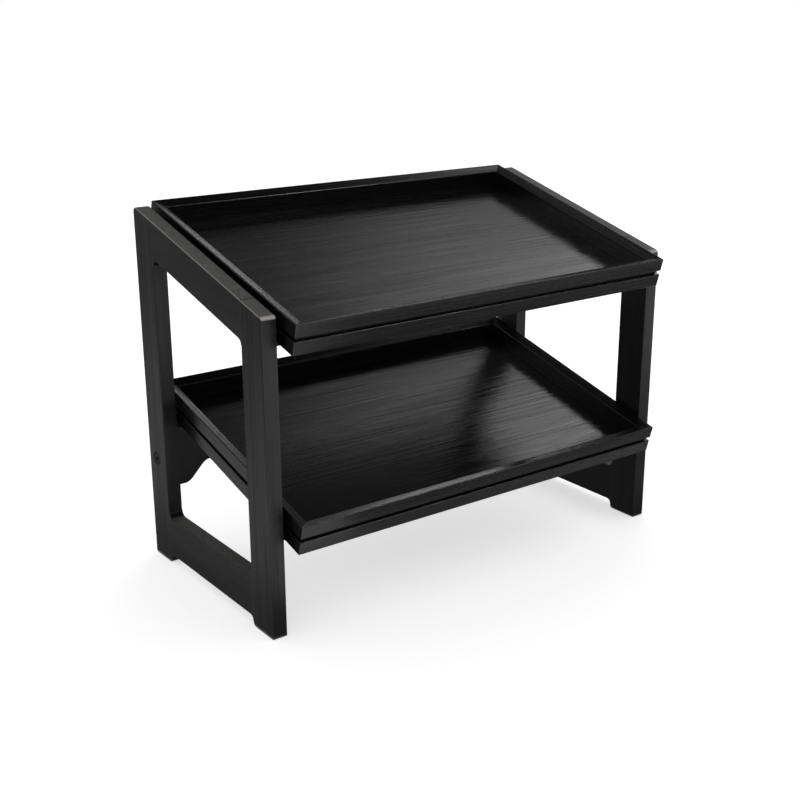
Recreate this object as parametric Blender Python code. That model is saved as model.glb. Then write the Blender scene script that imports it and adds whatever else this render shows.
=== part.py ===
"""Two-tier display stand in black stained wood.

Two side frames, each of two posts and two rails, are joined by an apron at the back. Two sloping trays
lift off round pegs in the posts. All sizes are in metres and +Z is up. X runs across the stand and Y
runs to its back, from the front face of the front posts.
"""

import math

import bmesh
import bpy
from mathutils import Matrix, Vector

# Trays: the outer size is the one-to-one food pan's.
TRAY_LENGTH = 0.530
TRAY_DEPTH = 0.325
TRAY_HEIGHT = 0.0368
TRAY_WALL = 0.013
RIM_DROP = 0.0047
LOWER_BAND = 0.016
SHADOW_GROOVE_HEIGHT = 0.0048
SHADOW_GROOVE_DEPTH = 0.004
PANEL_THICKNESS = 0.004
PANEL_TONGUE = 0.006
PANEL_LIP = 0.0058
WALL_EASE = 0.001
WALL_FINE_EASE = 0.0006
RIM_EASE = 0.0012

# Where the trays sit.
TILT = math.radians(15)
TRAY_OVERHANG = 0.030
LOWER_TRAY_EDGE = 0.1382
TIER_SPACING = 0.2186
SIDE_GAP = 0.005

# Side frames.
FRAME_THICKNESS = 0.018
FRAME_DEPTH = 0.286
FRONT_HEIGHT = 0.360
POST_WIDTH = 0.043
TOP_RAIL_HEIGHT = 0.042
BOTTOM_RAIL_HEIGHT = 0.0485
UNDERSIDE_CLEARANCE = 0.0115
FOOT_ROUND = 0.005
WINDOW_COVE = 0.009
TOP_CORNER_ROUND = 0.0055
EDGE_ROUND = 0.001

# Pegs that carry the trays.
PEG_DIAMETER = 0.014
PEG_IN_POST = 0.012
PEG_SADDLE = 0.0043
PEG_CHAMFER = 0.0012

# Dowels inside the frame joints and the apron joints.
DOWEL_DIAMETER = 0.008
DOWEL_CHAMFER = 0.001
DOWEL_IN_POST = 0.013
DOWEL_IN_RAIL = 0.017
RAIL_DOWEL_SPACING = 0.018
TOP_DOWEL_COVER = 0.011
APRON_DOWEL_IN_POST = 0.010
APRON_DOWEL_IN_APRON = 0.020
APRON_DOWEL_SPACING = 0.044

# Apron between the rear posts.
APRON_THICKNESS = 0.018
APRON_SETBACK = 0.0105
APRON_HEIGHT = 0.075
APRON_ARCH_RISE = 0.025
APRON_END_LAND = 0.012
APRON_OGEE_RUN = 0.038
APRON_OGEE_SLOPE = math.radians(46)

# Bolt and barrel nut at each end of the apron.
BOLT_DIAMETER = 0.006
BOLT_LENGTH = 0.050
BOLT_HEAD_DIAMETER = 0.016
BOLT_HEAD_HEIGHT = 0.002
BOLT_SOCKET_WIDTH = 0.004
BOLT_SOCKET_DEPTH = 0.0028
BOLT_END_CHAMFER = 0.0008
HEAD_RECESS_MARGIN = 0.0005
BARREL_DIAMETER = 0.010
BARREL_LENGTH = 0.014
BARREL_INSET = 0.028
BARREL_SLOT_WIDTH = 0.0014
BARREL_SLOT_DEPTH = 0.0012

# Clearances.
FIT = 0.0003
HOLE_END_ROOM = 0.0005

# How finely curves are cut.
EDGE_STEPS = 2
CORNER_STEPS = 5
COVE_STEPS = 7
ROD_SIDES = 24
HEXAGON_SIDES = 6
SMOOTH_ANGLE = math.radians(30)
CUTTER_OVERRUN = 0.002

# Sizes that follow from those above.
INNER_FACE = TRAY_LENGTH / 2 + SIDE_GAP
OUTER_FACE = INNER_FACE + FRAME_THICKNESS
UNDERSIDE_COVE = UNDERSIDE_CLEARANCE - FOOT_ROUND
BOTTOM_RAIL_TOP = UNDERSIDE_CLEARANCE + BOTTOM_RAIL_HEIGHT
PEG_RADIUS = PEG_DIAMETER / 2
DOWEL_RADIUS = DOWEL_DIAMETER / 2
CORNER_EASE = 1.5 * EDGE_ROUND
SIDES = {"left": -1, "right": 1}
TIERS = {"lower": LOWER_TRAY_EDGE, "upper": LOWER_TRAY_EDGE + TIER_SPACING}
POST_CENTRES = {"front": POST_WIDTH / 2, "rear": FRAME_DEPTH - POST_WIDTH / 2}

ALONG_X = (0, math.pi / 2, 0)
ALONG_Y = (-math.pi / 2, 0, 0)

# Finishes: colour, roughness, metallic.
FINISHES = {
    "stained_frame": ((0.012, 0.012, 0.013, 1), 0.32, 0.0),
    "stained_apron": ((0.014, 0.014, 0.015, 1), 0.36, 0.0),
    "stained_tray_wall": ((0.013, 0.013, 0.013, 1), 0.34, 0.0),
    "stained_tray_floor": ((0.018, 0.018, 0.019, 1), 0.30, 0.0),
    "stained_peg": ((0.016, 0.016, 0.016, 1), 0.40, 0.0),
    "beech_dowel": ((0.55, 0.38, 0.22, 1), 0.65, 0.0),
    "black_bolt_steel": ((0.03, 0.03, 0.032, 1), 0.38, 1.0),
    "zinc_steel": ((0.60, 0.60, 0.58, 1), 0.34, 1.0),
}


def clear_scene():
    for old in list(bpy.data.objects):
        bpy.data.objects.remove(old, do_unlink=True)


def finish_material(finish, piece):
    """A material of its own for the piece, in one of the named finishes."""
    colour, roughness, metallic = FINISHES[finish]
    material = bpy.data.materials.new(f"{piece}_{finish}")
    material.use_nodes = True
    shader = material.node_tree.nodes["Principled BSDF"]
    shader.inputs["Base Color"].default_value = colour
    shader.inputs["Roughness"].default_value = roughness
    shader.inputs["Metallic"].default_value = metallic
    return material


def add_empty(name, location, rotation=(0, 0, 0), parent=None):
    empty = bpy.data.objects.new(name, None)
    empty.empty_display_size = 0.03
    empty.location = location
    empty.rotation_euler = rotation
    empty.parent = parent
    bpy.context.scene.collection.objects.link(empty)
    return empty


def add_piece(name, work, finish, parent, location=(0, 0, 0), rotation=(0, 0, 0)):
    """An object made from a bmesh; no finish makes it a cutter, which a render leaves out."""
    bmesh.ops.recalc_face_normals(work, faces=work.faces)
    mesh = bpy.data.meshes.new(name)
    work.to_mesh(mesh)
    work.free()
    mesh.shade_smooth()
    mesh.set_sharp_from_angle(angle=SMOOTH_ANGLE)
    piece = bpy.data.objects.new(name, mesh)
    piece.location = location
    piece.rotation_euler = rotation
    piece.parent = parent
    bpy.context.scene.collection.objects.link(piece)
    if finish:
        mesh.materials.append(finish_material(finish, name))
    else:
        piece.hide_render = True
        piece.display_type = "WIRE"
    return piece


def cut(piece, cutter):
    """Takes the cutter's shape out of the piece."""
    modifier = piece.modifiers.new(cutter.name, "BOOLEAN")
    modifier.operation = "DIFFERENCE"
    modifier.solver = "EXACT"
    modifier.object = cutter


def loft(rings):
    """A bmesh closed body through rings of equally many points."""
    work = bmesh.new()
    rows = [[work.verts.new(point) for point in ring] for ring in rings]
    for row, following in zip(rows, rows[1:]):
        for i in range(len(row)):
            j = (i + 1) % len(row)
            work.faces.new((row[i], row[j], following[j], following[i]))
    work.faces.new(rows[0][::-1])
    work.faces.new(rows[-1])
    return work


def turned(profile, sides=ROD_SIDES):
    """A body turned about Z through a profile of (radius, height) pairs."""
    angles = [2 * math.pi * i / sides for i in range(sides)]
    return loft([[(r * math.cos(a), r * math.sin(a), z) for a in angles] for r, z in profile])


def rod_profile(radius, length, chamfer):
    """A rod from z = 0 to its length, with both ends chamfered."""
    return [
        (radius - chamfer, 0),
        (radius, chamfer),
        (radius, length - chamfer),
        (radius - chamfer, length),
    ]


def hole_profile(radius, start, end):
    return [(radius, start), (radius, end)]


def arc(centre, radius, start, end, steps):
    angles = [start + (end - start) * i / steps for i in range(steps + 1)]
    return [(centre[0] + radius * math.cos(a), centre[1] + radius * math.sin(a)) for a in angles]


def rounded(corners):
    """The outline through corners of (a, b, radius), each with a radius replaced by an arc."""
    points = []
    count = len(corners)
    for i in range(count):
        here = Vector(corners[i][:2])
        radius = corners[i][2]
        if radius <= 0:
            points.append(tuple(here))
            continue
        back = (Vector(corners[i - 1][:2]) - here).normalized()
        ahead = (Vector(corners[(i + 1) % count][:2]) - here).normalized()
        half = back.angle(ahead) / 2
        centre = here + (back + ahead).normalized() * radius / math.sin(half)
        first = here + back * radius / math.tan(half) - centre
        last = here + ahead * radius / math.tan(half) - centre
        start = math.atan2(first.y, first.x)
        sweep = math.remainder(math.atan2(last.y, last.x) - start, 2 * math.pi)
        points += arc(centre, radius, start, start + sweep, CORNER_STEPS)
    return points


def moved_in(corners, inset):
    """Convex corners of (a, b, radius) running anticlockwise, with every side moved in."""
    moved = []
    count = len(corners)
    for i in range(count):
        here = Vector(corners[i][:2])
        arriving = (here - Vector(corners[i - 1][:2])).normalized()
        leaving = (Vector(corners[(i + 1) % count][:2]) - here).normalized()
        inward = Vector((-arriving.y, arriving.x)) + Vector((-leaving.y, leaving.x))
        inward /= 1 + arriving.dot(leaving)
        place = here + inward * inset
        moved.append((place.x, place.y, corners[i][2] - inset))
    return moved


def eased_board(outline):
    """A board in the YZ plane, centred on X; outline gives its points for a side moved in so far."""
    half = FRAME_THICKNESS / 2
    steps = [math.pi / 2 * i / EDGE_STEPS for i in range(EDGE_STEPS + 1)]
    rows = [
        (half - EDGE_ROUND * (1 - math.cos(a)), outline(EDGE_ROUND * (1 - math.sin(a))))
        for a in steps
    ]
    rings = [[(-x, y, z) for y, z in points] for x, points in rows]
    rings += [[(x, y, z) for y, z in points] for x, points in reversed(rows)]
    return loft(rings)


def top_edge(y):
    """Height of the side frame's sloping top edge."""
    return FRONT_HEIGHT + y * math.tan(TILT)


def front_post_outline(inset):
    corners = [
        (0, 0, CORNER_EASE),
        (POST_WIDTH, 0, FOOT_ROUND),
        (POST_WIDTH, top_edge(POST_WIDTH), CORNER_EASE),
        (0, top_edge(0), TOP_CORNER_ROUND),
    ]
    return rounded(moved_in(corners, inset))


def rear_post_outline(inset):
    inner = FRAME_DEPTH - POST_WIDTH
    corners = [
        (inner, 0, FOOT_ROUND),
        (FRAME_DEPTH, 0, CORNER_EASE),
        (FRAME_DEPTH, top_edge(FRAME_DEPTH), TOP_CORNER_ROUND),
        (inner, top_edge(inner), CORNER_EASE),
    ]
    return rounded(moved_in(corners, inset))


def cove(face, toward, centre_height, radius, inset, rail_angle):
    """The hollow corner between a post's face and a rail, as points from the joint to the rail.

    toward is 1 where the rail runs to +Y from the face. rail_angle points from the arc's centre to
    the rail and is below zero where the rail lies under the centre.
    """
    centre = (face + toward * radius, centre_height)
    reach = radius + inset
    start = math.copysign(math.acos(toward * (FIT - radius) / reach), rail_angle)
    return arc(centre, reach, start, rail_angle, COVE_STEPS)


def top_rail_outline(inset):
    front, rear = POST_WIDTH, FRAME_DEPTH - POST_WIDTH
    slack = inset / math.cos(TILT)
    angle = math.pi / 2 + TILT
    drop = (TOP_RAIL_HEIGHT + WINDOW_COVE) / math.cos(TILT)
    front_centre = top_edge(front + WINDOW_COVE) - drop
    rear_centre = top_edge(rear - WINDOW_COVE) - drop
    return [
        (front + FIT, top_edge(front + FIT) - slack),
        *cove(front, 1, front_centre, WINDOW_COVE, inset, angle),
        *reversed(cove(rear, -1, rear_centre, WINDOW_COVE, inset, angle)),
        (rear - FIT, top_edge(rear - FIT) - slack),
    ]


def bottom_rail_outline(inset):
    front, rear = POST_WIDTH, FRAME_DEPTH - POST_WIDTH
    above = BOTTOM_RAIL_TOP + WINDOW_COVE
    below = UNDERSIDE_CLEARANCE - UNDERSIDE_COVE
    up, down = math.pi / 2, -math.pi / 2
    return [
        *cove(front, 1, below, UNDERSIDE_COVE, inset, up),
        *reversed(cove(rear, -1, below, UNDERSIDE_COVE, inset, up)),
        *cove(rear, -1, above, WINDOW_COVE, inset, down),
        *reversed(cove(front, 1, above, WINDOW_COVE, inset, down)),
    ]


def add_rail_dowel(name, height, joint, into_rail, x, post, rail, stand):
    """A dowel across the joint of a post and a rail, with its hole in both."""
    start = joint - into_rail * DOWEL_IN_POST
    turn = ALONG_Y if into_rail > 0 else (math.pi / 2, 0, 0)
    length = DOWEL_IN_POST + DOWEL_IN_RAIL
    profile = rod_profile(DOWEL_RADIUS, length, DOWEL_CHAMFER)
    place = (x, start, height)
    add_piece(name, turned(profile), "beech_dowel", stand, place, turn)
    hole = hole_profile(DOWEL_RADIUS + FIT, -HOLE_END_ROOM, length + HOLE_END_ROOM)
    cutter = add_piece(f"{name}_hole", turned(hole), None, stand, place, turn)
    cut(post, cutter)
    cut(rail, cutter)


def add_side_frame(side, stand):
    """Posts and rails of one side frame, with the dowels that hold its four joints."""
    x = SIDES[side] * (INNER_FACE + FRAME_THICKNESS / 2)
    outlines = {
        "front_post": front_post_outline,
        "rear_post": rear_post_outline,
        "top_rail": top_rail_outline,
        "bottom_rail": bottom_rail_outline,
    }
    pieces = {
        kind: add_piece(f"{side}_{kind}", eased_board(outline), "stained_frame", stand, (x, 0, 0))
        for kind, outline in outlines.items()
    }
    joints = {"front": (POST_WIDTH, 1), "rear": (FRAME_DEPTH - POST_WIDTH, -1)}
    for end, (joint, into_rail) in joints.items():
        upper = top_edge(joint) - TOP_DOWEL_COVER
        middle = (UNDERSIDE_CLEARANCE + BOTTOM_RAIL_TOP) / 2
        heights = {
            "top_rail": (upper, upper - RAIL_DOWEL_SPACING),
            "bottom_rail": (middle + RAIL_DOWEL_SPACING / 2, middle - RAIL_DOWEL_SPACING / 2),
        }
        for rail, pair in heights.items():
            for number, height in enumerate(pair, start=1):
                name = f"{side}_{rail}_{end}_dowel_{number}"
                post = pieces[f"{end}_post"]
                add_rail_dowel(name, height, joint, into_rail, x, post, pieces[rail], stand)
    return pieces


def tray_origin(edge_height):
    """The tray's own origin, at the foot of its front wall, in the frame's Y and Z."""
    y = TRAY_HEIGHT * math.sin(TILT) - TRAY_OVERHANG
    z = edge_height - TRAY_HEIGHT * math.cos(TILT)
    return y, z


def peg_height(edge_height, y):
    """Height of a peg's centre, so that its saddle in the tray's wall is as deep as named."""
    origin_y, origin_z = tray_origin(edge_height)
    below = PEG_SADDLE - PEG_RADIUS - FIT
    return origin_z + (below + (y - origin_y) * math.sin(TILT)) / math.cos(TILT)


def add_pegs(side, frame, stand):
    """Four pegs in the inner faces of one frame's posts. Returns the saddle cutters' places."""
    direction = SIDES[side]
    out = SIDE_GAP + TRAY_WALL
    length = PEG_IN_POST + out
    for tier, edge_height in TIERS.items():
        for end, y in POST_CENTRES.items():
            name = f"{side}_{tier}_{end}_peg"
            start = direction * (INNER_FACE + PEG_IN_POST)
            place = (start, y, peg_height(edge_height, y))
            turn = (0, -direction * math.pi / 2, 0)
            profile = rod_profile(PEG_RADIUS, length, PEG_CHAMFER)
            add_piece(name, turned(profile), "stained_peg", stand, place, turn)
            hole = hole_profile(PEG_RADIUS + FIT, -HOLE_END_ROOM, PEG_IN_POST + CUTTER_OVERRUN)
            cutter = add_piece(f"{name}_hole", turned(hole), None, stand, place, turn)
            cut(frame[f"{end}_post"], cutter)


def apron_top():
    """The apron stops just under the lower tray's rear pegs."""
    lowest = peg_height(TIERS["lower"], POST_CENTRES["rear"]) - PEG_RADIUS
    return lowest - HOLE_END_ROOM


def apron_outline():
    """Front view of the apron in X and Z: level top, and an arch with an ogee at each end."""
    half = INNER_FACE - FIT
    top = apron_top()
    low = top - APRON_HEIGHT
    slope = APRON_OGEE_SLOPE
    rise = 1 - math.cos(slope)
    radius = (APRON_OGEE_RUN * math.sin(slope) - APRON_ARCH_RISE * math.cos(slope)) / (2 * rise)
    start = half - APRON_END_LAND
    end = start - APRON_OGEE_RUN
    convex = arc((start, low + radius), radius, -math.pi / 2, -math.pi / 2 - slope, COVE_STEPS)
    hollow_centre = (end, low + APRON_ARCH_RISE - radius)
    hollow = arc(hollow_centre, radius, math.pi / 2 - slope, math.pi / 2, COVE_STEPS)
    right = [(half, top), (half, low), *convex, *hollow]
    return right + [(-x, z) for x, z in reversed(right)]


def add_apron(frames, stand):
    """The apron, and the dowels, bolt and barrel nut that hold each of its ends."""
    centre_y = FRAME_DEPTH - APRON_SETBACK - APRON_THICKNESS / 2
    half = APRON_THICKNESS / 2
    outline = apron_outline()
    board = loft([[(x, centre_y + y, z) for x, z in outline] for y in (-half, half)])
    apron = add_piece("rear_apron", board, "stained_apron", stand)
    ease = apron.modifiers.new("eased_edges", "BEVEL")
    ease.width = EDGE_ROUND
    ease.segments = EDGE_STEPS
    ease.limit_method = "ANGLE"
    ease.angle_limit = math.radians(60)
    for side, direction in SIDES.items():
        height = apron_top() - APRON_HEIGHT / 2
        post = frames[side]["rear_post"]
        add_apron_dowels(side, centre_y, height, post, apron, stand)
        add_apron_bolt(side, direction, centre_y, height, post, apron, stand)


def add_apron_dowels(side, y, height, post, apron, stand):
    direction = SIDES[side]
    length = APRON_DOWEL_IN_POST + APRON_DOWEL_IN_APRON
    turn = (0, -direction * math.pi / 2, 0)
    offsets = (APRON_DOWEL_SPACING / 2, -APRON_DOWEL_SPACING / 2)
    for number, offset in enumerate(offsets, start=1):
        name = f"{side}_apron_dowel_{number}"
        place = (direction * (INNER_FACE + APRON_DOWEL_IN_POST), y, height + offset)
        profile = rod_profile(DOWEL_RADIUS, length, DOWEL_CHAMFER)
        add_piece(name, turned(profile), "beech_dowel", stand, place, turn)
        hole = hole_profile(DOWEL_RADIUS + FIT, -HOLE_END_ROOM, length + HOLE_END_ROOM)
        cutter = add_piece(f"{name}_hole", turned(hole), None, stand, place, turn)
        cut(post, cutter)
        cut(apron, cutter)


def add_apron_bolt(side, direction, y, height, post, apron, stand):
    """A flat-headed bolt let into the post, and the barrel nut in the apron that it screws into."""
    turn = (0, -direction * math.pi / 2, 0)
    head, shank = BOLT_HEAD_DIAMETER / 2, BOLT_DIAMETER / 2
    face = -BOLT_HEAD_HEIGHT
    recess = BOLT_HEAD_HEIGHT + FIT
    seat = direction * (OUTER_FACE - recess)
    place = (seat, y, height)
    profile = [
        (head - BOLT_END_CHAMFER, face),
        (head, face + BOLT_END_CHAMFER),
        (head, -FIT),
        (shank, -FIT),
        (shank, BOLT_LENGTH - BOLT_END_CHAMFER),
        (shank - BOLT_END_CHAMFER, BOLT_LENGTH),
    ]
    bolt = add_piece(f"{side}_apron_bolt", turned(profile), "black_bolt_steel", stand, place, turn)
    across_corners = BOLT_SOCKET_WIDTH / math.sqrt(3)
    socket = hole_profile(across_corners, face - CUTTER_OVERRUN, face + BOLT_SOCKET_DEPTH)
    socket_body = turned(socket, HEXAGON_SIDES)
    cut(bolt, add_piece(f"{side}_bolt_socket", socket_body, None, stand, place, turn))

    way = [
        (head + HEAD_RECESS_MARGIN, -recess - CUTTER_OVERRUN),
        (head + HEAD_RECESS_MARGIN, 0),
        (shank + FIT, 0),
        (shank + FIT, BOLT_LENGTH + HOLE_END_ROOM),
    ]
    bolt_way = add_piece(f"{side}_bolt_way", turned(way), None, stand, place, turn)
    cut(post, bolt_way)
    cut(apron, bolt_way)

    nut_place = (direction * (INNER_FACE - FIT - BARREL_INSET), y - BARREL_LENGTH / 2, height)
    nut_radius = BARREL_DIAMETER / 2
    nut_profile = rod_profile(nut_radius, BARREL_LENGTH, BOLT_END_CHAMFER)
    name = f"{side}_barrel_nut"
    nut = add_piece(name, turned(nut_profile), "zinc_steel", stand, nut_place, ALONG_Y)
    cut(nut, bolt_way)
    slot = bmesh.new()
    bmesh.ops.create_cube(slot, size=1)
    slot_size = (BARREL_DIAMETER + CUTTER_OVERRUN, BARREL_SLOT_WIDTH, 2 * BARREL_SLOT_DEPTH)
    bmesh.ops.scale(slot, vec=slot_size, verts=slot.verts)
    slot_place = (nut_place[0], y + BARREL_LENGTH / 2, height)
    cut(nut, add_piece(f"{name}_slot", slot, None, stand, slot_place, ALONG_Y))
    depth_to_back = APRON_THICKNESS / 2 + BARREL_LENGTH / 2 + CUTTER_OVERRUN
    hole = hole_profile(nut_radius + FIT, -HOLE_END_ROOM, depth_to_back)
    cut(apron, add_piece(f"{name}_hole", turned(hole), None, stand, nut_place, ALONG_Y))


def tray_wall_section():
    """The wall's section: a from its outer face inwards, b up from its bottom edge."""
    groove_top = LOWER_BAND + SHADOW_GROOVE_HEIGHT
    panel_side = TRAY_WALL - PANEL_TONGUE
    panel_top = PANEL_LIP + PANEL_THICKNESS + 2 * FIT
    return rounded([
        (0, 0, WALL_EASE),
        (TRAY_WALL, 0, WALL_FINE_EASE),
        (TRAY_WALL, PANEL_LIP, 0),
        (panel_side, PANEL_LIP, 0),
        (panel_side, panel_top, 0),
        (TRAY_WALL, panel_top, 0),
        (TRAY_WALL, TRAY_HEIGHT - RIM_DROP, RIM_EASE),
        (0, TRAY_HEIGHT, WALL_EASE),
        (0, groove_top, WALL_FINE_EASE),
        (SHADOW_GROOVE_DEPTH, groove_top, 0),
        (SHADOW_GROOVE_DEPTH, LOWER_BAND, 0),
        (0, LOWER_BAND, WALL_FINE_EASE),
    ])


def mitred_wall(length):
    """A wall along X with its outer face at Y = 0, mitred at both ends."""
    half = length / 2 - FIT / 2
    section = tray_wall_section()
    return loft([[(sign * (half - a), a, b) for a, b in section] for sign in (-1, 1)])


def add_tray(tier, edge_height, stand):
    """One tray: four mitred walls grooved for a floor panel, on an empty that slides up to lift it."""
    origin_y, origin_z = tray_origin(edge_height)
    tray = add_empty(f"{tier}_tray_lift", (0, origin_y, origin_z), (TILT, 0, 0), stand)
    half_length, half_depth = TRAY_LENGTH / 2, TRAY_DEPTH / 2
    walls = {
        "front": (TRAY_LENGTH, (0, 0, 0), 0),
        "back": (TRAY_LENGTH, (0, TRAY_DEPTH, 0), math.pi),
        "left": (TRAY_DEPTH, (-half_length, half_depth, 0), -math.pi / 2),
        "right": (TRAY_DEPTH, (half_length, half_depth, 0), math.pi / 2),
    }
    made = {}
    for place, (length, location, turn) in walls.items():
        name = f"{tier}_tray_{place}_wall"
        body = mitred_wall(length)
        made[place] = add_piece(name, body, "stained_tray_wall", tray, location, (0, 0, turn))

    inset = TRAY_WALL - PANEL_TONGUE + FIT
    panel = bmesh.new()
    bmesh.ops.create_cube(panel, size=1)
    panel_size = (TRAY_LENGTH - 2 * inset, TRAY_DEPTH - 2 * inset, PANEL_THICKNESS)
    bmesh.ops.scale(panel, vec=panel_size, verts=panel.verts)
    middle = (0, half_depth, PANEL_LIP + FIT + PANEL_THICKNESS / 2)
    add_piece(f"{tier}_tray_floor", panel, "stained_tray_floor", tray, middle)

    for side, direction in SIDES.items():
        for end, y in POST_CENTRES.items():
            outer = direction * (TRAY_LENGTH / 2 + CUTTER_OVERRUN)
            place = (outer, y, peg_height(edge_height, y))
            saddle = hole_profile(PEG_RADIUS + FIT, 0, TRAY_WALL + 2 * CUTTER_OVERRUN)
            name = f"{side}_{tier}_{end}_saddle"
            turn = (0, -direction * math.pi / 2, 0)
            cutter = add_piece(name, turned(saddle), None, stand, place, turn)
            cut(made[side], cutter)
            cut(made["front" if end == "front" else "back"], cutter)


def stand_centre():
    """Middle of the whole depth, between the trays' front edge and the rearmost edge of all."""
    origin_y = tray_origin(LOWER_TRAY_EDGE)[0]
    section = tray_wall_section()
    front = min(a * math.cos(TILT) - b * math.sin(TILT) for a, b in section)
    back = max((TRAY_DEPTH - a) * math.cos(TILT) - b * math.sin(TILT) for a, b in section)
    return (min(0, origin_y + front) + max(FRAME_DEPTH, origin_y + back)) / 2


def build():
    clear_scene()
    stand = add_empty("stand", (0, -stand_centre(), 0))
    frames = {side: add_side_frame(side, stand) for side in SIDES}
    for side in SIDES:
        add_pegs(side, frames[side], stand)
    add_apron(frames, stand)
    for tier, edge_height in TIERS.items():
        add_tray(tier, edge_height, stand)


build()
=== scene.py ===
"""Two-tier display stand: black stained beech under a satin lacquer, in a plain white studio."""
import math

import bmesh
import bpy
from mathutils import Matrix, Vector


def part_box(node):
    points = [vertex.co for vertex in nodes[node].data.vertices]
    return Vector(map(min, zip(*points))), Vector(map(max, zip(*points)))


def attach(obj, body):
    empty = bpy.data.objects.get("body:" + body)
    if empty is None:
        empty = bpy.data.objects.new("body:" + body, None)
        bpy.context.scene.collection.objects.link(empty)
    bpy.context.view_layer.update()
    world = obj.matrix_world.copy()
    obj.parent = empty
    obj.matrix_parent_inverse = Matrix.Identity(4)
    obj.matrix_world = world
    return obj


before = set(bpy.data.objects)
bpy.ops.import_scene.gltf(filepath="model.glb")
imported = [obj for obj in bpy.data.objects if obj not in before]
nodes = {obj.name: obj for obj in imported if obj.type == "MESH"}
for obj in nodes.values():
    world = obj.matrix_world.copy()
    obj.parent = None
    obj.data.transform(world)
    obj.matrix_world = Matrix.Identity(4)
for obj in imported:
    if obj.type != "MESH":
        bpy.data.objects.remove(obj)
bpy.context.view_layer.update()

# Camera: a 56 mm lens on a 36 mm sensor, 1.5 m from the stand's middle. It stands off the left front
# corner, at the photograph's angle, and looks down by 18 degrees.
CAMERA_PLACE = (-0.8829, -1.1758, 0.6645)
CAMERA_AZIMUTH = math.radians(36.29)
CAMERA_ELEVATION = math.radians(18.09)
CAMERA_ROLL = math.radians(-0.21)
LENS_MM = 55.56
SENSOR_MM = 36
SEEN_FROM = 0.05
SEEN_TO = 50

lens = bpy.data.cameras.new("camera")
lens.sensor_width = SENSOR_MM
lens.lens = LENS_MM
lens.clip_start = SEEN_FROM
lens.clip_end = SEEN_TO
camera = bpy.data.objects.new("camera", lens)
camera.matrix_world = (
    Matrix.Translation(CAMERA_PLACE)
    @ Matrix.Rotation(-CAMERA_AZIMUTH, 4, "Z")
    @ Matrix.Rotation(math.pi / 2 - CAMERA_ELEVATION, 4, "X")
    @ Matrix.Rotation(CAMERA_ROLL, 4, "Z")
)
bpy.context.scene.collection.objects.link(camera)
bpy.context.scene.camera = camera
bpy.context.scene.view_settings.view_transform = "Standard"

# Studio: white paper under the stand and plain white all round it. The paper is matt, and it glows a
# little for the camera and for reflections, so that it shows as white as the backdrop.
PAPER_SIZE = 8.0
PAPER_DROP = 0.0004
PAPER_GLOW = 0.60
PAPER_GREY = 0.8
AMBIENT = 0.6
WHITE = (1, 1, 1, 1)


def add_node(tree, kind, settings=None, links=None):
    """Adds a node. Settings are its own fields or its inputs' values; links give an input a socket."""
    node = tree.nodes.new(kind)
    for name, value in (settings or {}).items():
        if isinstance(name, str) and hasattr(node, name):
            setattr(node, name, value)
        else:
            node.inputs[name].default_value = value
    for name, socket in (links or {}).items():
        tree.links.new(socket, node.inputs[name])
    return node


def empty_material(name):
    """A material that has no nodes yet, and its tree."""
    material = bpy.data.materials.new(name)
    material.use_nodes = True
    material.node_tree.nodes.clear()
    return material, material.node_tree


def seen_directly(tree):
    """1 for rays that show the background: straight from the camera, mirrored or through glass."""
    path = add_node(tree, "ShaderNodeLightPath")
    first = add_node(
        tree, "ShaderNodeMath", {"operation": "MAXIMUM"},
        {0: path.outputs["Is Camera Ray"], 1: path.outputs["Is Glossy Ray"]},
    )
    both = add_node(
        tree, "ShaderNodeMath", {"operation": "MAXIMUM"},
        {0: first.outputs[0], 1: path.outputs["Is Transmission Ray"]},
    )
    return both.outputs[0]


world = bpy.data.worlds.new("studio")
bpy.context.scene.world = world
world.use_nodes = True
sky = world.node_tree
sky.nodes.clear()
around = add_node(sky, "ShaderNodeBackground", {"Color": WHITE, "Strength": AMBIENT})
backdrop = add_node(sky, "ShaderNodeBackground", {"Color": WHITE, "Strength": 1.0})
either = add_node(
    sky, "ShaderNodeMixShader", None,
    {0: seen_directly(sky), 1: around.outputs[0], 2: backdrop.outputs[0]},
)
add_node(sky, "ShaderNodeOutputWorld", None, {"Surface": either.outputs[0]})


def flat_card(name, width, height, place, toward):
    """A rectangle at a place, facing a point."""
    half_w, half_h = width / 2, height / 2
    corners = [(-half_w, -half_h, 0), (half_w, -half_h, 0), (half_w, half_h, 0), (-half_w, half_h, 0)]
    mesh = bpy.data.meshes.new(name)
    mesh.from_pydata(corners, [], [(0, 1, 2, 3)])
    card = bpy.data.objects.new(name, mesh)
    card.location = place
    facing = Vector(toward) - Vector(place)
    card.rotation_euler = facing.to_track_quat("Z", "Y").to_euler()
    bpy.context.scene.collection.objects.link(card)
    return card


paper = flat_card("paper", PAPER_SIZE, PAPER_SIZE, (0, 0, -PAPER_DROP), (0, 0, 1))
paper_finish, tree = empty_material("white_paper")
matt = add_node(tree, "ShaderNodeBsdfDiffuse", {"Color": (PAPER_GREY, PAPER_GREY, PAPER_GREY, 1)})
glow = add_node(tree, "ShaderNodeEmission", {"Color": WHITE, "Strength": PAPER_GLOW})
lit = add_node(tree, "ShaderNodeAddShader", None, {0: matt.outputs[0], 1: glow.outputs[0]})
shown = add_node(
    tree, "ShaderNodeMixShader", None,
    {0: seen_directly(tree), 1: matt.outputs[0], 2: lit.outputs[0]},
)
add_node(tree, "ShaderNodeOutputMaterial", None, {"Surface": shown.outputs[0]})
paper.data.materials.append(paper_finish)

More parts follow.
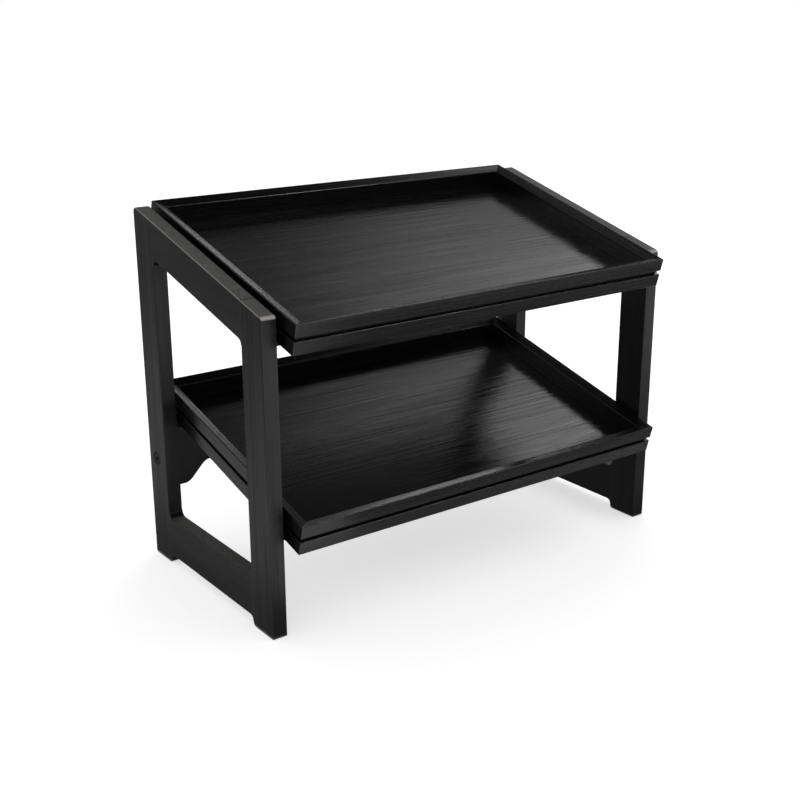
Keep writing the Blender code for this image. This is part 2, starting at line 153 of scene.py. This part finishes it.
# Cards: sheets that glow in one grey each, and one bright white one, which only reflections see.
# They stand where a photographer flags a lacquered piece to keep it black, and the bright one paints
# a highlight. The floor cards are painted shadow: they darken the paper round and under the stand
# as reflections see it. Each has its brightness, its low corner and its high corner, and the floor
# cards lie just over the paper.
# The near floor card: painted shadow in front of the stand, for reflections.
NEAR_SHADOW_GREY = 0.18
NEAR_SHADOW_CORNERS = [
    (-0.12, -0.22, 0.002),
    (-0.12, -0.30, 0.002),
    (0.12, -0.58, 0.002),
    (1.3, -0.58, 0.002),
    (1.3, -0.22, 0.002),
]


def glossy_only(thing):
    """Leaves a card to the reflections: no camera, shade or bounced light sees it."""
    thing.visible_camera = False
    thing.visible_diffuse = False
    thing.visible_transmission = False
    thing.visible_shadow = False


def glowing_card(name, grey, corners):
    """A card that glows in one grey, flat through its corners."""
    mesh = bpy.data.meshes.new(name)
    mesh.from_pydata(corners, [], [tuple(range(len(corners)))])
    card_glow, tree = empty_material(f"{name}_felt")
    shade = add_node(tree, "ShaderNodeEmission", {"Color": (grey, grey, grey, 1), "Strength": 1.0})
    add_node(tree, "ShaderNodeOutputMaterial", None, {"Surface": shade.outputs[0]})
    mesh.materials.append(card_glow)
    card = bpy.data.objects.new(name, mesh)
    bpy.context.scene.collection.objects.link(card)
    glossy_only(card)


for name, grey, (x0, y0, z0), (x1, y1, z1) in (
    ("card_above", 0.02, (-2.4, -2.2, 2.9), (3.0, 3.2, 2.9)),
    ("card_back", 0.28, (-3.5, 3.2, 0.0), (4.0, 3.2, 2.8)),
    ("card_left", 0.18, (-2.8, -2.0, 0.0), (-2.8, 3.2, 2.2)),
    ("card_right", 0.10, (3.0, -2.4, 0.0), (3.0, 3.2, 2.9)),
    ("card_front", 0.08, (-0.6, -3.0, 0.1), (4.0, -3.0, 2.6)),
    # A bright card that paints a highlight in reflections.
    ("white_wall", 1.8, (1.9, 3.1, 0.88), (2.98, 3.1, 1.5)),
    # Painted shadow of the stand on the floor, as reflections see it.
    ("floor_card_left", 0.11, (-2.8, -0.3, 0.003), (-0.70, 3.0, 0.003)),
    ("floor_card_strip", 0.50, (-0.70, -0.3, 0.003), (-0.36, 3.0, 0.003)),
    ("floor_card_foot", 0.18, (-0.36, -0.3, 0.003), (-0.25, 3.0, 0.003)),
    ("floor_card_under", 0.13, (-0.25, -0.205, 0.002), (0.6, 0.6, 0.002)),
):
    if z0 == z1:
        glowing_card(name, grey, [(x0, y0, z0), (x1, y0, z0), (x1, y1, z0), (x0, y1, z0)])
    else:
        glowing_card(name, grey, [(x0, y0, z0), (x1, y1, z0), (x1, y1, z1), (x0, y0, z1)])
# Painted shadow in front of the stand, for reflections.
glowing_card("painted_shadow_near", NEAR_SHADOW_GREY, NEAR_SHADOW_CORNERS)

# Softboxes: two large ones behind the stand, right and left, and a smaller one at its right front.
# Each has its width, height, watts, place and the brightness of its cloth face in steps from left to
# right, as the stand sees it. Only reflections see the face, which is dimmer below a slanting line.
SOFTBOX_AIM = Vector((0, 0, 0.37))
FACE_STEPS = 5
SOFTBOXES = {
    "softbox_right": (1.5, 0.85, 8.0, (1.37, 1.23, 1.75), (0.08, 0.30, 0.90, 1.40, 3.0)),
    "softbox_left": (1.3, 0.7, 2.0, (-1.90, 1.26, 1.17), (1.6,) * FACE_STEPS),
    "softbox_front": (0.8, 0.4, 1.0, (1.21, -1.24, 1.72), (16.0,) * FACE_STEPS),
}
FACE_DIM = 0.45
FACE_SLANT = 0.5
FACE_FOOT = -0.115
FACE_BLUR = 0.09
for name, (width, height, watts, place, brightness) in SOFTBOXES.items():
    lamp = bpy.data.lights.new(name, "AREA")
    lamp.shape = "RECTANGLE"
    lamp.size = width
    lamp.size_y = height
    lamp.energy = watts
    softbox = bpy.data.objects.new(name, lamp)
    softbox.location = place
    aim = SOFTBOX_AIM - Vector(place)
    softbox.rotation_euler = aim.to_track_quat("-Z", "Y").to_euler()
    softbox.visible_glossy = False
    bpy.context.scene.collection.objects.link(softbox)
    face = flat_card(f"{name}_face", width, height, place, SOFTBOX_AIM)
    glossy_only(face)
    cloth, tree = empty_material(f"{name}_cloth")
    spot = add_node(tree, "ShaderNodeTexCoord")
    way = add_node(tree, "ShaderNodeSeparateXYZ", None, {"Vector": spot.outputs["Object"]})
    across = add_node(
        tree, "ShaderNodeMapRange", {"From Min": -width / 2, "From Max": width / 2},
        {"Value": way.outputs["X"]},
    )
    spread = add_node(tree, "ShaderNodeValToRGB", None, {"Fac": across.outputs[0]})
    steps = spread.color_ramp.elements
    for number in range(1, FACE_STEPS - 1):
        steps.new(number / (FACE_STEPS - 1))
    top = max(brightness)
    for step, value in zip(steps, brightness):
        step.color = (value / top, value / top, value / top, 1)
    slanted = add_node(
        tree, "ShaderNodeMath", {"operation": "MULTIPLY_ADD", 1: FACE_SLANT},
        {0: way.outputs["X"], 2: way.outputs["Y"]},
    )
    rise = add_node(
        tree, "ShaderNodeMapRange",
        {
            "interpolation_type": "SMOOTHSTEP",
            "From Min": FACE_FOOT - FACE_BLUR, "From Max": FACE_FOOT + FACE_BLUR,
            "To Min": FACE_DIM * top, "To Max": top,
        },
        {"Value": slanted.outputs[0]},
    )
    shine = add_node(
        tree, "ShaderNodeEmission", None, {"Color": spread.outputs["Color"], "Strength": rise.outputs[0]},
    )
    add_node(tree, "ShaderNodeOutputMaterial", None, {"Surface": shine.outputs[0]})
    face.data.materials.append(cloth)

# Side frames: beech boards stained black and sprayed with satin lacquer. Each post and rail is
# planed, its edges eased, and dowelled and glued to the next before the finish goes on.
STAIN = "#050505"
STAIN_LIGHT = "#121211"
# Colour on every edge: partly wear, partly a painted edge highlight.
WORN_AND_HIGHLIT_EDGE = "#2b2928"
# Colour of the painted highlight on the rounded top edges.
PAINTED_EDGE_HIGHLIGHT = "#aaa7a2"
# Grey of the painted top light on faces that look up.
PAINTED_TOP_LIGHT = "#656462"
LACQUER_IOR = 1.5
FRAME_ROUGHNESS = 0.40
DRY_ROUGHNESS = 0.58
SHEEN_CHANGE = 0.07
BANDS_PER_METRE = (3.3, 62, 62)
STREAKS_PER_METRE = (4, 360, 360)
PORES_PER_METRE = (140, 1000, 1000)
STREAK_SHARE = 0.5
DARK_FIGURE = 0.40
LIGHT_FIGURE = 0.62
GLOSSY_FIGURE = 0.60
SLOPING_FACE = 0.86
LEVEL_FACE = 0.94
SPECK_START = 0.32
SPECK_FULL = 0.68
BETWEEN_SPECKS = 0.25
EDGE_WIDTH = 0.0012
EDGE_START = 0.995
EDGE_FULL = 0.93
# Where the painted highlight on the top edges begins and is full, by turn and by height.
HIGHLIGHT_START = 0.28
HIGHLIGHT_FULL = 0.40
HIGHLIGHT_LOW = 0.2
HIGHLIGHT_HIGH = 0.3
GRAIN_BUMP = 0.5
GRAIN_DEPTH = 0.0005
OPEN_PORES = 0.35
PLANK_STEP = (0.37, 0.11, 0.23)
SMOOTH_ANGLE = math.radians(40)
SAME_POINT = 0.000005
FLAT_FACES_LEAD = 80


def linear(code):
    """An sRGB hex code as linear colour."""
    values = [int(code[i:i + 2], 16) / 255 for i in (1, 3, 5)]
    return tuple(v / 12.92 if v <= 0.04045 else ((v + 0.055) / 1.055) ** 2.4 for v in values) + (1,)


def stained_beech(
    name, turn, shift, roughness, contrast=1.0, top_light_and_dullness=0.0,
    open_pores=OPEN_PORES, stain=STAIN, light=STAIN_LIGHT,
):
    """Beech stained black under lacquer, which shows as satin black with long fine streaks.

    The turn brings the board's grain onto the X axis, so each pattern's first scale runs along the
    grain and the other two across it. The strength for the tops sets how far the faces that look up
    turn duller, and how far painted light greys them.
    """
    material, tree = empty_material(name)
    place = add_node(tree, "ShaderNodeTexCoord")
    turned = add_node(
        tree, "ShaderNodeMapping", {"vector_type": "POINT", "Rotation": turn, "Location": shift},
        {"Vector": place.outputs["Object"]},
    )
    # Growth bands, 16 mm apart and 300 mm long.
    bands_place = add_node(
        tree, "ShaderNodeMapping", {"Scale": BANDS_PER_METRE}, {"Vector": turned.outputs[0]},
    )
    bands = add_node(
        tree, "ShaderNodeTexNoise", {"Scale": 1.0, "Detail": 4, "Roughness": 0.55, "Distortion": 0.6},
        {"Vector": bands_place.outputs[0]},
    )
    # Vessel streaks, drawn 2.8 mm wide and 250 mm long, which is twice the real width, to show.
    streak_place = add_node(
        tree, "ShaderNodeMapping", {"Scale": STREAKS_PER_METRE}, {"Vector": turned.outputs[0]},
    )
    streaks = add_node(
        tree, "ShaderNodeTexNoise", {"Scale": 1.0, "Detail": 3, "Roughness": 0.6},
        {"Vector": streak_place.outputs[0]},
    )
    # Pores, drawn 1 mm wide and 7 mm long, three times the real size, to show.
    pore_place = add_node(
        tree, "ShaderNodeMapping", {"Scale": PORES_PER_METRE}, {"Vector": turned.outputs[0]},
    )
    pores = add_node(
        tree, "ShaderNodeTexNoise", {"Scale": 1.0, "Detail": 2, "Roughness": 0.6},
        {"Vector": pore_place.outputs[0]},
    )
    # The figure mixes bands and streaks, and the wood has taken less stain where it is high.
    figure = add_node(
        tree, "ShaderNodeMix", {"data_type": "FLOAT", 0: STREAK_SHARE},
        {2: bands.outputs["Fac"], 3: streaks.outputs["Fac"]},
    )
    tone = add_node(tree, "ShaderNodeValToRGB", None, {"Fac": figure.outputs[0]})
    tone.color_ramp.elements[0].position = DARK_FIGURE
    tone.color_ramp.elements[0].color = linear(stain)
    tone.color_ramp.elements[1].position = LIGHT_FIGURE
    tone.color_ramp.elements[1].color = linear(light)
    # Faces within 20 degrees of level get a duller lacquer and painted top light, and those past 31
    # degrees do not. The painted grey lies in specks along the pores.
    surface = add_node(tree, "ShaderNodeNewGeometry")
    up = add_node(tree, "ShaderNodeSeparateXYZ", None, {"Vector": surface.outputs["True Normal"]})
    top_share = add_node(
        tree, "ShaderNodeMapRange",
        {"From Min": SLOPING_FACE, "From Max": LEVEL_FACE, "To Min": 0.0, "To Max": top_light_and_dullness},
        {"Value": up.outputs["Z"]},
    )
    specks = add_node(
        tree, "ShaderNodeMapRange",
        {"From Min": SPECK_START, "From Max": SPECK_FULL, "To Min": BETWEEN_SPECKS},
        {"Value": pores.outputs["Fac"]},
    )
    painted_top_light_share = add_node(
        tree, "ShaderNodeMath", {"operation": "MULTIPLY"}, {0: top_share.outputs[0], 1: specks.outputs[0]},
    )
    painted_top_lit = add_node(
        tree, "ShaderNodeMix", {"data_type": "RGBA", "clamp_factor": True},
        {0: painted_top_light_share.outputs[0], 6: tone.outputs["Color"]},
    )
    painted_top_lit.inputs[7].default_value = linear(PAINTED_TOP_LIGHT)
    # Every edge turns lighter: partly wear where boards are sanded between coats, partly a painted
    # edge highlight.
    eased = add_node(tree, "ShaderNodeBevel", {"samples": 4, "Radius": EDGE_WIDTH})
    turned_by = add_node(
        tree, "ShaderNodeVectorMath", {"operation": "DOT_PRODUCT"},
        {0: surface.outputs["True Normal"], 1: eased.outputs["Normal"]},
    )
    edge = add_node(
        tree, "ShaderNodeMapRange",
        {"From Min": EDGE_START, "From Max": EDGE_FULL, "To Min": 0.0, "To Max": 1.0},
        {"Value": turned_by.outputs["Value"]},
    )
    edge_worn_and_lit = add_node(
        tree, "ShaderNodeMix", {"data_type": "RGBA", "clamp_factor": True},
        {0: edge.outputs[0], 6: painted_top_lit.outputs[2]},
    )
    edge_worn_and_lit.inputs[7].default_value = linear(WORN_AND_HIGHLIT_EDGE)
    # Boards with painted top light also get a pale painted highlight high up, on the rounding from
    # their tops to the faces that look out or to the front.
    spot = add_node(tree, "ShaderNodeSeparateXYZ", None, {"Vector": place.outputs["Object"]})
    hand = add_node(tree, "ShaderNodeMath", {"operation": "SIGN"}, {0: spot.outputs["X"]})
    outward = add_node(
        tree, "ShaderNodeMath", {"operation": "MULTIPLY"}, {0: up.outputs["X"], 1: hand.outputs[0]},
    )
    forward = add_node(tree, "ShaderNodeMath", {"operation": "MULTIPLY", 1: -1.0}, {0: up.outputs["Y"]})
    leading = add_node(
        tree, "ShaderNodeMath", {"operation": "MAXIMUM"}, {0: outward.outputs[0], 1: forward.outputs[0]},
    )
    rounded = add_node(
        tree, "ShaderNodeMath", {"operation": "MULTIPLY"}, {0: leading.outputs[0], 1: up.outputs["Z"]},
    )
    highlight_share = add_node(
        tree, "ShaderNodeMapRange",
        {"From Min": HIGHLIGHT_START, "From Max": HIGHLIGHT_FULL, "To Min": 0.0, "To Max": top_light_and_dullness},
        {"Value": rounded.outputs[0]},
    )
    high = add_node(
        tree, "ShaderNodeMapRange", {"From Min": HIGHLIGHT_LOW, "From Max": HIGHLIGHT_HIGH},
        {"Value": spot.outputs["Z"]},
    )
    painted_highlight = add_node(
        tree, "ShaderNodeMath", {"operation": "MULTIPLY"}, {0: highlight_share.outputs[0], 1: high.outputs[0]},
    )
    highlighted = add_node(
        tree, "ShaderNodeMix", {"data_type": "RGBA", "clamp_factor": True},
        {0: painted_highlight.outputs[0], 6: edge_worn_and_lit.outputs[2]},
    )
    highlighted.inputs[7].default_value = linear(PAINTED_EDGE_HIGHLIGHT)
    # Lacquer lies duller over the dark figure and on dry tops, and the grain shows through it.
    gloss = add_node(
        tree, "ShaderNodeMapRange",
        {
            "From Min": DARK_FIGURE, "From Max": GLOSSY_FIGURE,
            "To Min": roughness + SHEEN_CHANGE * contrast, "To Max": roughness - SHEEN_CHANGE * contrast,
        },
        {"Value": figure.outputs[0]},
    )
    dull = add_node(
        tree, "ShaderNodeMix", {"data_type": "FLOAT", 3: DRY_ROUGHNESS},
        {0: top_share.outputs[0], 2: gloss.outputs[0]},
    )
    relief = add_node(
        tree, "ShaderNodeMix", {"data_type": "FLOAT", 0: open_pores},
        {2: streaks.outputs["Fac"], 3: pores.outputs["Fac"]},
    )
    bump = add_node(
        tree, "ShaderNodeBump", {"Strength": GRAIN_BUMP * contrast, "Distance": GRAIN_DEPTH},
        {"Height": relief.outputs[0]},
    )
    shader = add_node(
        tree, "ShaderNodeBsdfPrincipled", {"IOR": LACQUER_IOR},
        {"Base Color": highlighted.outputs[2], "Roughness": dull.outputs[0], "Normal": bump.outputs[0]},
    )
    add_node(tree, "ShaderNodeOutputMaterial", None, {"Surface": shader.outputs[0]})
    return material


def cut_from_plank(number):
    """Where in the grain a board is cut, so that no two boards look alike."""
    return tuple(step * number for step in PLANK_STEP)


def dress(node_name, material):
    """Gives a CAD piece its finish, and lets light run smoothly round its eased edges."""
    piece = nodes[node_name]
    piece.data.shade_smooth()
    for slot in piece.material_slots:
        slot.material = material
    weld = piece.modifiers.new("weld", "WELD")
    weld.merge_threshold = SAME_POINT
    crease = piece.modifiers.new("crease", "EDGE_SPLIT")
    crease.split_angle = SMOOTH_ANGLE
    even = piece.modifiers.new("even", "WEIGHTED_NORMAL")
    even.weight = FLAT_FACES_LEAD


GRAIN_ALONG_Z = (0, math.pi / 2, 0)
GRAIN_ALONG_Y = (0, 0, -math.pi / 2)
FRAME_BOARDS = {
    "front_post": GRAIN_ALONG_Z,
    "rear_post": GRAIN_ALONG_Z,
    "top_rail": GRAIN_ALONG_Y,
    "bottom_rail": GRAIN_ALONG_Y,
}
boards_made = 0
for side in ("left", "right"):
    for board_name, turn in FRAME_BOARDS.items():
        boards_made += 1
        name = f"{side}_{board_name}"
        # Frames get duller tops, painted top light and the painted highlight on their top edges.
        finish = stained_beech(
            f"stained_beech_{name}", turn, cut_from_plank(boards_made), FRAME_ROUGHNESS, top_light_and_dullness=1.0
        )
        dress(name, finish)

# Joints of the side frames: wood filler, sanded flush after glue-up and lacquered with the boards,
# so that a joint shows only by the turn of its grain.
TILT = math.radians(15)
FRAME_THICKNESS = 0.018
FRAME_DEPTH = 0.286
FRONT_HEIGHT = 0.360
POST_WIDTH = 0.043
TOP_RAIL_HEIGHT = 0.042
BOTTOM_RAIL_TOP = 0.060
WINDOW_COVE = 0.009
EDGE_ROUND = 0.001
ROUND_STEPS = 3
JOINT_GAP = 0.0003
FILLER_INSET = 0.0015
FILLER_FOOT = 0.0062
frame_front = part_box("left_front_post")[0][1]


def top_edge(y):
    """How high the frame's sloping top is, at a distance behind its front."""
    return FRONT_HEIGHT + y * math.tan(TILT)


def filled_joint(name, material, side, y_low, y_high, ends_low, ends_high):
    """A rounded bar across the frame's thickness; ends give its lowest and highest Z at y_low and y_high."""
    low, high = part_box(f"{side}_front_post")
    middle = (low[0] + high[0]) / 2
    half = FRAME_THICKNESS / 2
    work = bmesh.new()
    rows = []
    for y, (z0, z1) in ((y_low, ends_low), (y_high, ends_high)):
        ring = []
        for sx, sz, quarter in ((1, 1, 0), (-1, 1, 1), (-1, -1, 2), (1, -1, 3)):
            for step in range(ROUND_STEPS + 1):
                a = math.pi / 2 * (quarter + step / ROUND_STEPS)
                x = sx * (half - EDGE_ROUND) + EDGE_ROUND * math.cos(a)
                z = (z1 - EDGE_ROUND if sz > 0 else z0 + EDGE_ROUND) + EDGE_ROUND * math.sin(a)
                ring.append(work.verts.new((middle + x, y, z)))
        rows.append(ring)
    for i in range(len(rows[0])):
        j = (i + 1) % len(rows[0])
        work.faces.new((rows[0][i], rows[0][j], rows[1][j], rows[1][i]))
    work.faces.new(rows[0][::-1])
    work.faces.new(rows[1])
    bmesh.ops.recalc_face_normals(work, faces=work.faces)
    mesh = bpy.data.meshes.new(name)
    work.to_mesh(mesh)
    work.free()
    mesh.shade_smooth()
    mesh.set_sharp_from_angle(angle=SMOOTH_ANGLE)
    mesh.materials.append(material)
    piece = bpy.data.objects.new(name, mesh)
    bpy.context.scene.collection.objects.link(piece)
    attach(piece, "stand")


for side in ("left", "right"):
    for end, toward, joint in (("front", 1, POST_WIDTH), ("rear", -1, FRAME_DEPTH - POST_WIDTH)):
        y_low, y_high = sorted((joint - toward * EDGE_ROUND, joint + toward * JOINT_GAP))
        material = bpy.data.materials[f"stained_beech_{side}_{end}_post"]
        cove = joint + toward * WINDOW_COVE
        under = top_edge(cove) - (TOP_RAIL_HEIGHT + WINDOW_COVE) / math.cos(TILT) + FILLER_INSET
        filled_joint(
            f"{side}_top_{end}_joint", material, side,
            frame_front + y_low, frame_front + y_high,
            (under, top_edge(y_low)), (under, top_edge(y_high)),
        )
        ends = (FILLER_FOOT, BOTTOM_RAIL_TOP + WINDOW_COVE - FILLER_INSET)
        filled_joint(
            f"{side}_bottom_{end}_joint", material, side,
            frame_front + y_low, frame_front + y_high, ends, ends,
        )

# Dowels in the joints: 8 mm beech dowels with chamfered ends. They are glued in before the stain,
# so they stay the pale tan of bare wood.
BARE_BEECH = "#b58e62"
BARE_BEECH_LIGHT = "#c9a478"
BARE_ROUGHNESS = 0.6
DOWEL_CUT = (0.4, 0.2, 0.1)
dowel_finish = stained_beech(
    "bare_beech_dowel", GRAIN_ALONG_Y, DOWEL_CUT, BARE_ROUGHNESS,
    stain=BARE_BEECH, light=BARE_BEECH_LIGHT,
)
for name in nodes:
    if "dowel" in name:
        dress(name, dowel_finish)

# Apron: a beech board with a bandsawn arch, stained and lacquered before it is dowelled and bolted
# between the rear posts.
APRON_ROUGHNESS = 0.40
APRON_CUT = (2.1, 0.7, 0.4)
GRAIN_ALONG_X = (0, 0, 0)
apron_finish = stained_beech("stained_beech_apron", GRAIN_ALONG_X, APRON_CUT, APRON_ROUGHNESS)
dress("rear_apron", apron_finish)

# Bolts and barrel nuts: turned steel. The bolts, whose caps show in the posts, are black oxide, a
# dark satin grey. The nuts that they screw into in the apron are zinc plated, a pale satin grey.
# Both finishes are mottled about every 1 mm.
MOTTLE_PER_METRE = 900
MOTTLE_DOWN = 0.06
MOTTLE_UP = 0.08
for finish_name, colour, roughness, kind in (
    ("black_oxide_steel", "#1c1c1d", 0.42, "bolt"),
    ("zinc_plated_steel", "#b9bab6", 0.34, "barrel_nut"),
):
    steel, tree = empty_material(finish_name)
    place = add_node(tree, "ShaderNodeTexCoord")
    mottle = add_node(
        tree, "ShaderNodeTexNoise", {"Scale": MOTTLE_PER_METRE, "Detail": 3},
        {"Vector": place.outputs["Object"]},
    )
    wear = add_node(
        tree, "ShaderNodeMapRange", {"To Min": roughness - MOTTLE_DOWN, "To Max": roughness + MOTTLE_UP},
        {"Value": mottle.outputs["Fac"]},
    )
    shader = add_node(
        tree, "ShaderNodeBsdfPrincipled", {"Base Color": linear(colour), "Metallic": 1.0},
        {"Roughness": wear.outputs[0]},
    )
    add_node(tree, "ShaderNodeOutputMaterial", None, {"Surface": shader.outputs[0]})
    for name in nodes:
        if name.endswith(kind):
            dress(name, steel)

# Pegs: turned hardwood pegs with chamfered ends, set into blind holes in the posts. They are
# stained with the frames and left a little duller.
PEG_ROUGHNESS = 0.42
PEG_CUT = (1.3, 0.9, 0.2)
peg_finish = stained_beech("stained_peg", GRAIN_ALONG_X, PEG_CUT, PEG_ROUGHNESS)
for name in nodes:
    if name.endswith("peg"):
        dress(name, peg_finish)

# Trays: moulded beech walls, stained black, mitred at the corners and grooved for a floor panel of
# veneered board. They are rubbed down and lacquered smoother than the frames, so they mirror the
# studio, and the floors mirror it best.
WALL_LIGHT = "#0a0a0a"
WALL_ROUGHNESS = 0.25
VENEER_LIGHT = "#191716"
VENEER_ROUGHNESS = 0.18
VENEER_CONTRAST = 1.5
VENEER_PORES = 0.12
GRAIN_UP_SLOPE = (-TILT, 0, -math.pi / 2)
GRAIN_OF_FLOOR = (-TILT, 0, 0)
WALL_GRAIN = {
    "front": GRAIN_ALONG_X,
    "back": GRAIN_ALONG_X,
    "left": GRAIN_UP_SLOPE,
    "right": GRAIN_UP_SLOPE,
}
for tier in ("upper", "lower"):
    for place_name, turn in WALL_GRAIN.items():
        boards_made += 1
        name = f"{tier}_tray_{place_name}_wall"
        finish = stained_beech(
            f"stained_beech_{name}", turn, cut_from_plank(boards_made), WALL_ROUGHNESS, light=WALL_LIGHT
        )
        dress(name, finish)
    boards_made += 1
    name = f"{tier}_tray_floor"
    veneer = stained_beech(
        f"stained_veneer_{name}", GRAIN_OF_FLOOR, cut_from_plank(boards_made), VENEER_ROUGHNESS,
        VENEER_CONTRAST, open_pores=VENEER_PORES, light=VENEER_LIGHT,
    )
    dress(name, veneer)

# Mitres: the glue line in each corner of a tray, filled and lacquered over with the walls. Each is
# as thin as the gap, and its outline is the mitred end of the front or back wall.
MITRE_GAP = 0.00021
SAME_DIRECTION = 0.999
SAME_PLACE_DIGITS = 7
for tier in ("upper", "lower"):
    for wall in ("front", "back"):
        source = nodes[f"{tier}_tray_{wall}_wall"].data
        for hand, sign in (("left", -1), ("right", 1)):
            across = Vector((sign, 0, 0))
            inward = Vector((0, math.cos(TILT), math.sin(TILT))) * (1 if wall == "front" else -1)
            facing = (across + inward).normalized()
            name = f"{tier}_tray_{wall}_{hand}_mitre"
            work = bmesh.new()
            made = {}
            for polygon in source.polygons:
                if polygon.normal.dot(facing) > SAME_DIRECTION:
                    corners = []
                    for index in polygon.vertices:
                        at = tuple(round(c, SAME_PLACE_DIGITS) for c in source.vertices[index].co)
                        if at not in made:
                            made[at] = work.verts.new(source.vertices[index].co)
                        corners.append(made[at])
                    work.faces.new(corners)
            grown = bmesh.ops.extrude_face_region(work, geom=list(work.faces))
            moved = [item for item in grown["geom"] if isinstance(item, bmesh.types.BMVert)]
            bmesh.ops.translate(work, verts=moved, vec=facing * MITRE_GAP)
            bmesh.ops.recalc_face_normals(work, faces=work.faces)
            mesh = bpy.data.meshes.new(name)
            work.to_mesh(mesh)
            work.free()
            mesh.materials.append(bpy.data.materials[f"stained_beech_{tier}_tray_{wall}_wall"])
            piece = bpy.data.objects.new(name, mesh)
            bpy.context.scene.collection.objects.link(piece)
            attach(piece, f"{tier}_tray")
